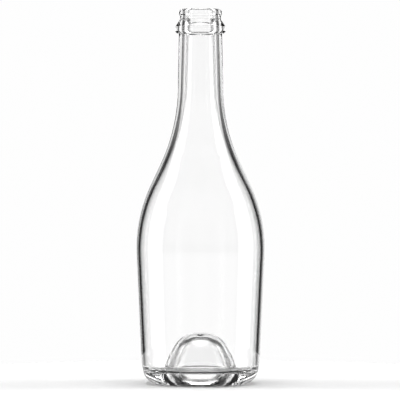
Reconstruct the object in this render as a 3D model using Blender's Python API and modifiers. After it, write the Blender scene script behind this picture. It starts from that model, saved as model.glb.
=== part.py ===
"""Clear glass bottle for a sparkling drink, empty and open.

It is one piece of moulded glass: a crown finish with its collar, a long neck, sloping shoulders,
a body that tapers towards the heel, and a deep punt. Metres, +Z up. The origin is the centre of
the ring that the bottle stands on.
"""

import math

import bpy

# Driving dimensions
HEIGHT = 0.2517

# Crown finish: the lip that the cap is crimped over, the waist and the collar
BORE_RADIUS = 0.00945
LIP_RADIUS = 0.01457
LIP_UNDERSIDE_Z = 0.2481
WAIST_RADIUS = 0.01387
WAIST_TOP_Z = 0.2469
WAIST_FOOT_Z = 0.2447
COLLAR_RADIUS = 0.01703
COLLAR_TOP_Z = 0.23985
COLLAR_UNDERSIDE_Z = 0.2350

# Outer wall, where its straight lines cross
NECK_TOP_RADIUS = 0.01466
NECK_CORNER = (0.01593, 0.1712)
SHOULDER_CORNER = (0.04436, 0.1112)
HEEL_CORNERS = (0.03998, 0.0142), (0.03779, 0.00426)
FOOT_CORNER_RADIUS = 0.0323

# Inner wall, likewise
BORE_FOOT_Z = 0.2425
CORKAGE_RADIUS = 0.00963  # the bore below the finish
CORKAGE_TOP_Z = 0.2380
INNER_NECK_CORNER = (0.01157, 0.1700)
INNER_SHOULDER_CORNER = (0.04170, 0.1107)
FLOOR_CORNER_RADIUS = 0.0371
FLOOR_Z = 0.0090

# Punt: the push-up in the base, over and under
PUNT_TOP_Z = 0.0347
PUNT_SHOULDER_RADIUS = 0.0135  # where the flank's line reaches the top's height
PUNT_FOOT_RADIUS = 0.0262
PUNT_UNDERSIDE_Z = 0.0292
PUNT_UNDERSIDE_SHOULDER_RADIUS = 0.0092
PUNT_FLARE = (0.0200, 0.0060)  # where the underside starts to open out
PUNT_RIM = (0.0262, 0.0015)
STANDING_RING_RADIUS = 0.0280  # inner edge of the flat ring that the bottle stands on

CHORD_SAG = 0.0001  # how far a chord may lie from its arc
CHORD_TURN = math.radians(30)  # and how far it may turn
TURN_STEPS = 48  # facets round the bottle


def outline():
    """The glass's section as corners (radius, height, rounding radius), from the axis inside, up the
    inner wall, over the lip, down the outer wall and back to the axis under the punt."""
    return [
        (0, PUNT_TOP_Z, 0),
        (PUNT_SHOULDER_RADIUS, PUNT_TOP_Z, 0.0200),
        (PUNT_FOOT_RADIUS, FLOOR_Z, 0.0095),
        (FLOOR_CORNER_RADIUS, FLOOR_Z, 0.0045),
        (*INNER_SHOULDER_CORNER, 0.0965),
        (*INNER_NECK_CORNER, 0.1340),
        (CORKAGE_RADIUS, CORKAGE_TOP_Z, 0.0080),
        (BORE_RADIUS, BORE_FOOT_Z, 0.0080),
        (BORE_RADIUS, HEIGHT, 0.0006),
        (LIP_RADIUS, HEIGHT, 0.0024),
        (LIP_RADIUS, LIP_UNDERSIDE_Z, 0.0010),
        (WAIST_RADIUS, WAIST_TOP_Z, 0.0010),
        (WAIST_RADIUS, WAIST_FOOT_Z, 0.0015),
        (COLLAR_RADIUS, COLLAR_TOP_Z, 0.0015),
        (COLLAR_RADIUS, COLLAR_UNDERSIDE_Z, 0.0020),
        (NECK_TOP_RADIUS, COLLAR_UNDERSIDE_Z, 0.0002),
        (*NECK_CORNER, 0.1199),
        (*SHOULDER_CORNER, 0.0989),
        (*HEEL_CORNERS[0], 0.0689),
        (*HEEL_CORNERS[1], 0.0112),
        (FOOT_CORNER_RADIUS, 0, 0.0040),
        (STANDING_RING_RADIUS, 0, 0.0012),
        (*PUNT_RIM, 0.0030),
        (*PUNT_FLARE, 0.0060),
        (PUNT_UNDERSIDE_SHOULDER_RADIUS, PUNT_UNDERSIDE_Z, 0.0120),
        (0, PUNT_UNDERSIDE_Z, 0),
    ]


def rounded(corners, sag, widest):
    """The points of an outline whose corners are rounded by tangent arcs. A chord is at most sag off its
    arc and turns by at most widest."""
    points = [corners[0][:2]]
    for before, corner, after in zip(corners, corners[1:], corners[2:]):
        r, z, radius = corner
        into = math.atan2(z - before[1], r - before[0])
        out = math.atan2(after[1] - z, after[0] - r)
        turn = math.remainder(out - into, math.tau)
        reach = radius * math.tan(abs(turn) / 2)
        start = (r - reach * math.cos(into), z - reach * math.sin(into))
        side = math.copysign(math.pi / 2, turn)
        centre = (start[0] + radius * math.cos(into + side), start[1] + radius * math.sin(into + side))
        steps = math.ceil(abs(turn) / min(widest, 2 * math.acos(1 - sag / radius)))
        for step in range(steps + 1):
            angle = into - side + turn * step / steps
            points.append((centre[0] + radius * math.cos(angle), centre[1] + radius * math.sin(angle)))
    points.append(corners[-1][:2])
    return points


def glass_material():
    material = bpy.data.materials.new("clear_glass")
    material.use_nodes = True
    shader = material.node_tree.nodes["Principled BSDF"]
    shader.inputs["Base Color"].default_value = (0.97, 0.98, 0.98, 1)
    shader.inputs["Roughness"].default_value = 0.0
    shader.inputs["IOR"].default_value = 1.52
    shader.inputs["Transmission Weight"].default_value = 1.0
    return material


def turned(name, section, material):
    """A solid of revolution round Z from an open section that starts and ends on the axis."""
    mesh = bpy.data.meshes.new(name)
    edges = [(i, i + 1) for i in range(len(section) - 1)]
    mesh.from_pydata([(r, 0, z) for r, z in section], edges, [])
    mesh.materials.append(material)
    piece = bpy.data.objects.new(name, mesh)
    screw = piece.modifiers.new("turn", "SCREW")
    screw.steps = screw.render_steps = TURN_STEPS
    screw.use_merge_vertices = True
    screw.merge_threshold = 0.00001
    screw.use_smooth_shade = True
    return piece


def main():
    for old in list(bpy.data.objects):
        bpy.data.objects.remove(old)
    bottle = bpy.data.collections.new("soda_bottle")
    bpy.context.scene.collection.children.link(bottle)
    bottle.objects.link(turned("glass_bottle", rounded(outline(), CHORD_SAG, CHORD_TURN), glass_material()))


main()
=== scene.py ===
"""The clear glass bottle as it looks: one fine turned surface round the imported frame, with the small
bumps of its standing ring and its mould seams, on a white table in soft studio light."""
import math

import bpy
import numpy as np
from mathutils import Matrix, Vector


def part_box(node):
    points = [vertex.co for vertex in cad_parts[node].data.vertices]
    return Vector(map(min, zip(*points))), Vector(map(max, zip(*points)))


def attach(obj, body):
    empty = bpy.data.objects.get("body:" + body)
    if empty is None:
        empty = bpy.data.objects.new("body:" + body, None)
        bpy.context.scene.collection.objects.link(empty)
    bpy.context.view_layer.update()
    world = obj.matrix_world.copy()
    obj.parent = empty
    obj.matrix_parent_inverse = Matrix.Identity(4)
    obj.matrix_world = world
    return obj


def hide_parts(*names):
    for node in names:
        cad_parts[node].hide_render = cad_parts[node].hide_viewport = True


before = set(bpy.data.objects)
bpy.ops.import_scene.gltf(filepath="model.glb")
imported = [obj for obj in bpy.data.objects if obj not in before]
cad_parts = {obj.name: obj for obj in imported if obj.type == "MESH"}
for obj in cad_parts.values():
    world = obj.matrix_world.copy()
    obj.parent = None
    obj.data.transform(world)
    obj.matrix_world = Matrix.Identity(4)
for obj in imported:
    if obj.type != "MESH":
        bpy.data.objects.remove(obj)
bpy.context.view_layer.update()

# Driving dimensions, in metres, as in the CAD part
HEIGHT = 0.2517

# Crown finish: the lip that the cap is crimped over, the waist and the collar
BORE_RADIUS = 0.00945
LIP_RADIUS = 0.01457
LIP_UNDERSIDE_Z = 0.2481
WAIST_RADIUS = 0.01387
WAIST_TOP_Z = 0.2469
WAIST_FOOT_Z = 0.2447
COLLAR_RADIUS = 0.01703
COLLAR_TOP_Z = 0.23985
COLLAR_UNDERSIDE_Z = 0.2350

# Outer wall, where its straight lines cross
NECK_TOP_RADIUS = 0.01466
NECK_CORNER = (0.01593, 0.1712)
SHOULDER_CORNER = (0.04436, 0.1112)
HEEL_CORNERS = (0.03998, 0.0142), (0.03779, 0.00426)
FOOT_CORNER_RADIUS = 0.0323

# Inner wall, likewise
BORE_FOOT_Z = 0.2425
CORKAGE_RADIUS = 0.00963  # the bore below the finish
CORKAGE_TOP_Z = 0.2380
INNER_NECK_CORNER = (0.01157, 0.1700)
INNER_SHOULDER_CORNER = (0.04170, 0.1107)
FLOOR_CORNER_RADIUS = 0.0371
FLOOR_Z = 0.0090

# Punt: the push-up in the base, over and under
PUNT_TOP_Z = 0.0347
PUNT_SHOULDER_RADIUS = 0.0135  # where the flank's line reaches the top's height
PUNT_FOOT_RADIUS = 0.0262
PUNT_UNDERSIDE_Z = 0.0292
PUNT_UNDERSIDE_SHOULDER_RADIUS = 0.0092
PUNT_FLARE = (0.0200, 0.0060)  # where the underside starts to open out
PUNT_RIM = (0.0262, 0.0015)
STANDING_RING_RADIUS = 0.0280  # inner edge of the flat ring that the bottle stands on

# The mesh
CHORD_SAG = 0.000003  # how far a chord may lie from its arc
CHORD_TURN = math.radians(5)  # and how far it may turn
LONGEST_ROW = 0.006
SHORTEST_ROW = 1e-7
TURN_STEPS = 384
NARROWEST_STEP = math.radians(0.1)
RADIAL_FIT = 0.9984  # keeps the fine surface in the box of the CAD part, whose chords cut the widest arc

# The small bumps that it stands on
BUMPS = 96
BUMP_DEPTH = 0.00040
BUMP_BAND = (0.0282, 0.0290, 0.0312, 0.0326)  # radii where the hollows between them start, are full and end
BUMP_MIDDLE = 0.0301  # radius at which a hollow points straight outwards
BUMP_BOW = 1152.0  # how fast it bends aside from there, in radians per metre squared
BUMP_TOP_Z = 0.003

# Mould seams
SEAM_AZIMUTHS = math.radians(12), math.radians(192)
SEAM_STEPS = math.radians(-0.45), math.radians(-0.22), 0.0, math.radians(0.22), math.radians(0.45)
SEAM_HEIGHT = 0.00008
SEAM_HALF_WIDTH = 0.00030
SEAM_FOOT = 0.004, 0.010  # heights where a seam starts and is full
SEAM_TOP = HEIGHT - 0.003, HEIGHT - 0.001  # heights where it starts to fade and ends

# Glass: the scale and the depth of its slow waviness
REFRACTIVE_INDEX = 1.52
INNER_RIPPLE = 60.0, 0.000004
OUTER_RIPPLE = 90.0, 0.000003

# Camera, as far away as the flat look asks
CAMERA = Vector((-0.00034, -2.016, 0.151))
AIM = Vector((-0.00034, 0, 0.1234))
LENS = 270.0
SENSOR_WIDTH = 36
CAMERA_REACH = 20
PIXEL_FILTER = 1.3

# Studio: brightness by azimuth from straight behind the bottle, in degrees, the same to the left and right
ROUND_THE_BOTTLE = ((0, 1.0), (13, 1.0), (18, 0.75), (23, 0.32), (28, 0.02), (46, 0.01), (180, 0.01))
SOFT_BOXES = (
    (46, 0.0), (52, 0.15), (57, 0.6), (62, 0.9), (68, 1.0), (72, 2.0), (76, 4.5), (95, 4.5), (100, 0.7),
    (108, 0.36), (130, 0.25), (150, 0.25), (180, 0.28),
)
BACKDROP_TOP = 0.38, 0.55  # sines of the elevation where the backdrop starts to fade and ends
SOFT_BOX_TOP = 0.65, 0.80  # likewise for the soft boxes
OVERHEAD = 4.1
OVERHEAD_FOOT = 0.88, 0.95  # sines of the elevation where the overhead light starts and is full
BEYOND = 0.99  # what the camera sees past the table
FLOOR_ALBEDO = 0.92
FLOOR_ROUGHNESS = 0.6
NEAR_WHITE = 0.95  # on the camera's side: the floor past the table, and what shows through the glass
NEAR_AZIMUTHS = 100, 112
NEAR_FLOOR_TOP = -0.085, -0.05  # sines of the elevation where that floor starts to fade and ends
NEAR_THROUGH_GLASS = 0.6
TABLE_RADIUS = 0.24
TABLE_SIDES = 96
TABLE_GAP = 0.00002  # between the table and the bottle
SIZE_SLACK = 0.0002  # how far the frame's height may lie from HEIGHT


def outline():
    """The glass's section as corners (radius, height, rounding radius), from the axis inside, up the
    inner wall, over the lip, down the outer wall and back to the axis under the punt."""
    return [
        (0, PUNT_TOP_Z, 0),
        (PUNT_SHOULDER_RADIUS, PUNT_TOP_Z, 0.0200),
        (PUNT_FOOT_RADIUS, FLOOR_Z, 0.0095),
        (FLOOR_CORNER_RADIUS, FLOOR_Z, 0.0045),
        (*INNER_SHOULDER_CORNER, 0.0965),
        (*INNER_NECK_CORNER, 0.1340),
        (CORKAGE_RADIUS, CORKAGE_TOP_Z, 0.0080),
        (BORE_RADIUS, BORE_FOOT_Z, 0.0080),
        (BORE_RADIUS, HEIGHT, 0.0006),
        (LIP_RADIUS, HEIGHT, 0.0024),
        (LIP_RADIUS, LIP_UNDERSIDE_Z, 0.0010),
        (WAIST_RADIUS, WAIST_TOP_Z, 0.0010),
        (WAIST_RADIUS, WAIST_FOOT_Z, 0.0015),
        (COLLAR_RADIUS, COLLAR_TOP_Z, 0.0015),
        (COLLAR_RADIUS, COLLAR_UNDERSIDE_Z, 0.0020),
        (NECK_TOP_RADIUS, COLLAR_UNDERSIDE_Z, 0.0002),
        (*NECK_CORNER, 0.1199),
        (*SHOULDER_CORNER, 0.0989),
        (*HEEL_CORNERS[0], 0.0689),
        (*HEEL_CORNERS[1], 0.0112),
        (FOOT_CORNER_RADIUS, 0, 0.0040),
        (STANDING_RING_RADIUS, 0, 0.0012),
        (*PUNT_RIM, 0.0030),
        (*PUNT_FLARE, 0.0060),
        (PUNT_UNDERSIDE_SHOULDER_RADIUS, PUNT_UNDERSIDE_Z, 0.0120),
        (0, PUNT_UNDERSIDE_Z, 0),
    ]


def rounded(corners, sag, widest):
    """The points of an outline whose corners are rounded by tangent arcs. A chord is at most sag off its
    arc and turns by at most widest."""
    points = [corners[0][:2]]
    for before, corner, after in zip(corners, corners[1:], corners[2:]):
        r, z, radius = corner
        into = math.atan2(z - before[1], r - before[0])
        out = math.atan2(after[1] - z, after[0] - r)
        turn = math.remainder(out - into, math.tau)
        reach = radius * math.tan(abs(turn) / 2)
        start = (r - reach * math.cos(into), z - reach * math.sin(into))
        side = math.copysign(math.pi / 2, turn)
        centre = (start[0] + radius * math.cos(into + side), start[1] + radius * math.sin(into + side))
        steps = math.ceil(abs(turn) / min(widest, 2 * math.acos(1 - sag / radius)))
        for step in range(steps + 1):
            angle = into - side + turn * step / steps
            points.append((centre[0] + radius * math.cos(angle), centre[1] + radius * math.sin(angle)))
    points.append(corners[-1][:2])
    return points


def divided(points, longest):
    """The same outline with its long straights cut into rows."""
    rows = [points[0]]
    for a, b in zip(points, points[1:]):
        length = math.dist(a, b)
        if length < SHORTEST_ROW:
            continue
        pieces = math.ceil(length / longest)
        rows += [tuple(np.array(a) + (np.array(b) - np.array(a)) * (i + 1) / pieces) for i in range(pieces)]
    return rows


def smoothstep(low, high, x):
    t = np.clip((x - low) / (high - low), 0, 1)
    return t * t * (3 - 2 * t)


def bottle_mesh(name):
    section = np.array(divided(rounded(outline(), CHORD_SAG, CHORD_TURN), LONGEST_ROW))
    section[:, 0] *= RADIAL_FIT
    section[:, 1] = np.maximum(section[:, 1], 0)
    inner = np.arange(len(section)) <= int(np.argmax(section[:, 1]))
    rows = section[1:-1]

    azimuths = np.arange(TURN_STEPS) * math.tau / TURN_STEPS
    at_seams = np.array([seam + step for seam in SEAM_AZIMUTHS for step in SEAM_STEPS]) % math.tau
    azimuths = np.unique(np.round(np.concatenate([azimuths, at_seams]), 6))
    azimuths = azimuths[np.diff(np.append(azimuths, azimuths[0] + math.tau)) > NARROWEST_STEP]
    count = len(azimuths)

    r = np.repeat(rows[:, 0:1], count, axis=1)
    z = np.repeat(rows[:, 1:2], count, axis=1)
    a = np.repeat(azimuths[None, :], len(rows), axis=0)
    outer = ~inner[1:-1][:, None]

    # the hollows between the bumps of the standing ring
    band = smoothstep(BUMP_BAND[0], BUMP_BAND[1], r) * (1 - smoothstep(BUMP_BAND[2], BUMP_BAND[3], r))
    band = band * outer * (z < BUMP_TOP_Z)
    wave = 0.5 - 0.5 * np.cos(BUMPS * (a + BUMP_BOW * (r - BUMP_MIDDLE) ** 2))
    z = z + BUMP_DEPTH * wave * band

    # the mould's seams, from the heel to the lip
    for seam in SEAM_AZIMUTHS:
        off = np.abs(np.remainder(a - seam + math.pi, math.tau) - math.pi) * r
        rise = SEAM_HEIGHT * (1 - smoothstep(0, SEAM_HALF_WIDTH, off)) * outer
        r = r + rise * smoothstep(*SEAM_FOOT, z) * (1 - smoothstep(*SEAM_TOP, z))

    points = np.stack([r * np.cos(a), r * np.sin(a), z], axis=-1).reshape(-1, 3)
    top = len(points)
    points = np.concatenate([points, [[0, 0, section[0, 1]], [0, 0, section[-1, 1]]]])
    faces, materials = [], []
    for i in range(len(rows) - 1):
        material = 0 if inner[i + 1] and inner[i + 2] else 1
        for j in range(count):
            k = (j + 1) % count
            faces.append((i * count + j, (i + 1) * count + j, (i + 1) * count + k, i * count + k))
            materials.append(material)
    last = (len(rows) - 1) * count
    for j in range(count):
        k = (j + 1) % count
        faces.append((top, j, k))
        materials.append(0)
        faces.append((top + 1, last + k, last + j))
        materials.append(1)
    mesh = bpy.data.meshes.new(name)
    mesh.from_pydata(points.tolist(), [], faces)
    mesh.polygons.foreach_set("material_index", materials)
    mesh.shade_smooth()
    mesh.update()
    return mesh


def node(tree, kind, **inputs):
    n = tree.nodes.new(kind)
    for key, value in inputs.items():
        n.inputs[key].default_value = value
    return n


def glass(name, scale, depth):
    """Clear container glass with a slow waviness."""
    material = bpy.data.materials.new(name)
    material.use_nodes = True
    tree = material.node_tree
    shader = tree.nodes["Principled BSDF"]
    shader.inputs["Base Color"].default_value = (1, 1, 1, 1)
    shader.inputs["Roughness"].default_value = 0.0
    shader.inputs["IOR"].default_value = REFRACTIVE_INDEX
    shader.inputs["Transmission Weight"].default_value = 1.0
    place = tree.nodes.new("ShaderNodeTexCoord")
    ripple = node(tree, "ShaderNodeTexNoise", Scale=scale, Detail=1.0)
    bump = node(tree, "ShaderNodeBump", Strength=1.0, Distance=depth)
    tree.links.new(place.outputs["Object"], ripple.inputs["Vector"])
    tree.links.new(ripple.outputs[0], bump.inputs["Height"])
    tree.links.new(bump.outputs["Normal"], shader.inputs["Normal"])
    return material


def floor_material():
    material = bpy.data.materials.new("white_table")
    material.use_nodes = True
    shader = material.node_tree.nodes["Principled BSDF"]
    shader.inputs["Roughness"].default_value = FLOOR_ROUGHNESS
    shader.inputs["Specular IOR Level"].default_value = 0.0
    shader.inputs["Base Color"].default_value = (FLOOR_ALBEDO, FLOOR_ALBEDO, FLOOR_ALBEDO, 1)
    return material


def brightness(tree, share, stops):
    """A brightness that follows the azimuth, whose share of a half turn is given."""
    ramp = tree.nodes.new("ShaderNodeValToRGB")
    elements = ramp.color_ramp.elements
    elements.remove(elements[-1])
    peak = max(value for _, value in stops)
    for i, (degrees, value) in enumerate(stops):
        stop = elements.new(degrees / 180) if i else elements[0]
        stop.position = degrees / 180
        stop.color = (value / peak,) * 3 + (1,)
    tree.links.new(share, ramp.inputs["Fac"])
    return maths(tree, "MULTIPLY", ramp.outputs["Color"], peak)


def maths(tree, operation, *values):
    """The outcome of one operation on sockets or plain numbers."""
    n = tree.nodes.new("ShaderNodeMath")
    n.operation = operation
    for socket, value in zip(n.inputs, values):
        if isinstance(value, float):
            socket.default_value = value
        else:
            tree.links.new(value, socket)
    return n.outputs[0]


def step(tree, value, start, end):
    """A smooth rise from 0 at start to 1 at end."""
    n = node(tree, "ShaderNodeMapRange", **{"From Min": start, "From Max": end})
    n.interpolation_type = "SMOOTHSTEP"
    tree.links.new(value, n.inputs["Value"])
    return n.outputs["Result"]


def mixed(tree, factor, below, above):
    """A socket's value, changed by the factor into a plain number."""
    n = node(tree, "ShaderNodeMix", B=above)
    tree.links.new(factor, n.inputs["Factor"])
    tree.links.new(below, n.inputs["A"])
    return n.outputs["Result"]


def studio():
    """The light that surrounds the bottle: a white sheet behind it, a soft box at each side, darkness
    between them, a large soft light overhead and a white floor on the camera's side. What lies past the
    table is white to the camera, and the camera's side is whiter when it is seen through glass."""
    world = bpy.data.worlds.new("studio")
    bpy.context.scene.world = world
    world.use_nodes = True
    tree = world.node_tree
    place = tree.nodes.new("ShaderNodeTexCoord")
    path = tree.nodes.new("ShaderNodeLightPath")
    split = tree.nodes.new("ShaderNodeSeparateXYZ")
    tree.links.new(place.outputs["Generated"], split.inputs[0])
    x, y, z = split.outputs
    azimuth = maths(tree, "ARCTAN2", maths(tree, "ABSOLUTE", x), y)
    share = maths(tree, "DIVIDE", azimuth, math.pi)

    backdrop, boxes = (
        maths(tree, "MULTIPLY", brightness(tree, share, stops), step(tree, z, end, start))
        for stops, (start, end) in ((ROUND_THE_BOTTLE, BACKDROP_TOP), (SOFT_BOXES, SOFT_BOX_TOP))
    )
    level = maths(tree, "ADD", backdrop, boxes)

    near = step(tree, share, *(degrees / 180 for degrees in NEAR_AZIMUTHS))
    floor = step(tree, z, *reversed(NEAR_FLOOR_TOP))
    through = maths(tree, "MULTIPLY", path.outputs["Is Transmission Ray"], NEAR_THROUGH_GLASS)
    whiter = maths(tree, "MULTIPLY", near, maths(tree, "MAXIMUM", through, floor))
    level = mixed(tree, whiter, level, NEAR_WHITE)
    level = mixed(tree, step(tree, z, *OVERHEAD_FOOT), level, OVERHEAD)
    level = mixed(tree, path.outputs["Is Camera Ray"], level, BEYOND)
    tree.links.new(level, tree.nodes["Background"].inputs["Color"])


def table():
    mesh = bpy.data.meshes.new("table")
    turn = [math.tau * i / TABLE_SIDES for i in range(TABLE_SIDES)]
    rim = [(TABLE_RADIUS * math.cos(t), TABLE_RADIUS * math.sin(t), 0) for t in turn]
    mesh.from_pydata(rim, [], [tuple(range(TABLE_SIDES))])
    mesh.materials.append(floor_material())
    piece = bpy.data.objects.new("table", mesh)
    bpy.context.scene.collection.objects.link(piece)
    piece.location.z = -TABLE_GAP


def camera():
    data = bpy.data.cameras.new("camera")
    data.lens = LENS
    data.sensor_width = SENSOR_WIDTH
    data.clip_end = CAMERA_REACH
    piece = bpy.data.objects.new("camera", data)
    bpy.context.scene.collection.objects.link(piece)
    piece.location = CAMERA
    piece.rotation_euler = (AIM - CAMERA).to_track_quat("-Z", "Y").to_euler()
    bpy.context.scene.camera = piece


def main():
    low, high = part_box("glass_bottle")
    if abs(high[2] - HEIGHT) > SIZE_SLACK or abs(low[2]) > SIZE_SLACK:
        raise ValueError("the frame's bottle has another height")
    mesh = bottle_mesh("bottle_glass")
    mesh.materials.append(glass("inner_glass", *INNER_RIPPLE))
    mesh.materials.append(glass("outer_glass", *OUTER_RIPPLE))
    bottle = bpy.data.objects.new("bottle_glass", mesh)
    bpy.context.scene.collection.objects.link(bottle)
    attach(bottle, "root")
    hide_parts("glass_bottle")
    table()
    studio()
    camera()
    bpy.context.scene.view_settings.view_transform = "Standard"
    bpy.context.scene.cycles.filter_width = PIXEL_FILTER
    bpy.context.scene.cycles.caustics_refractive = True
    bpy.context.scene.cycles.caustics_reflective = True


main()
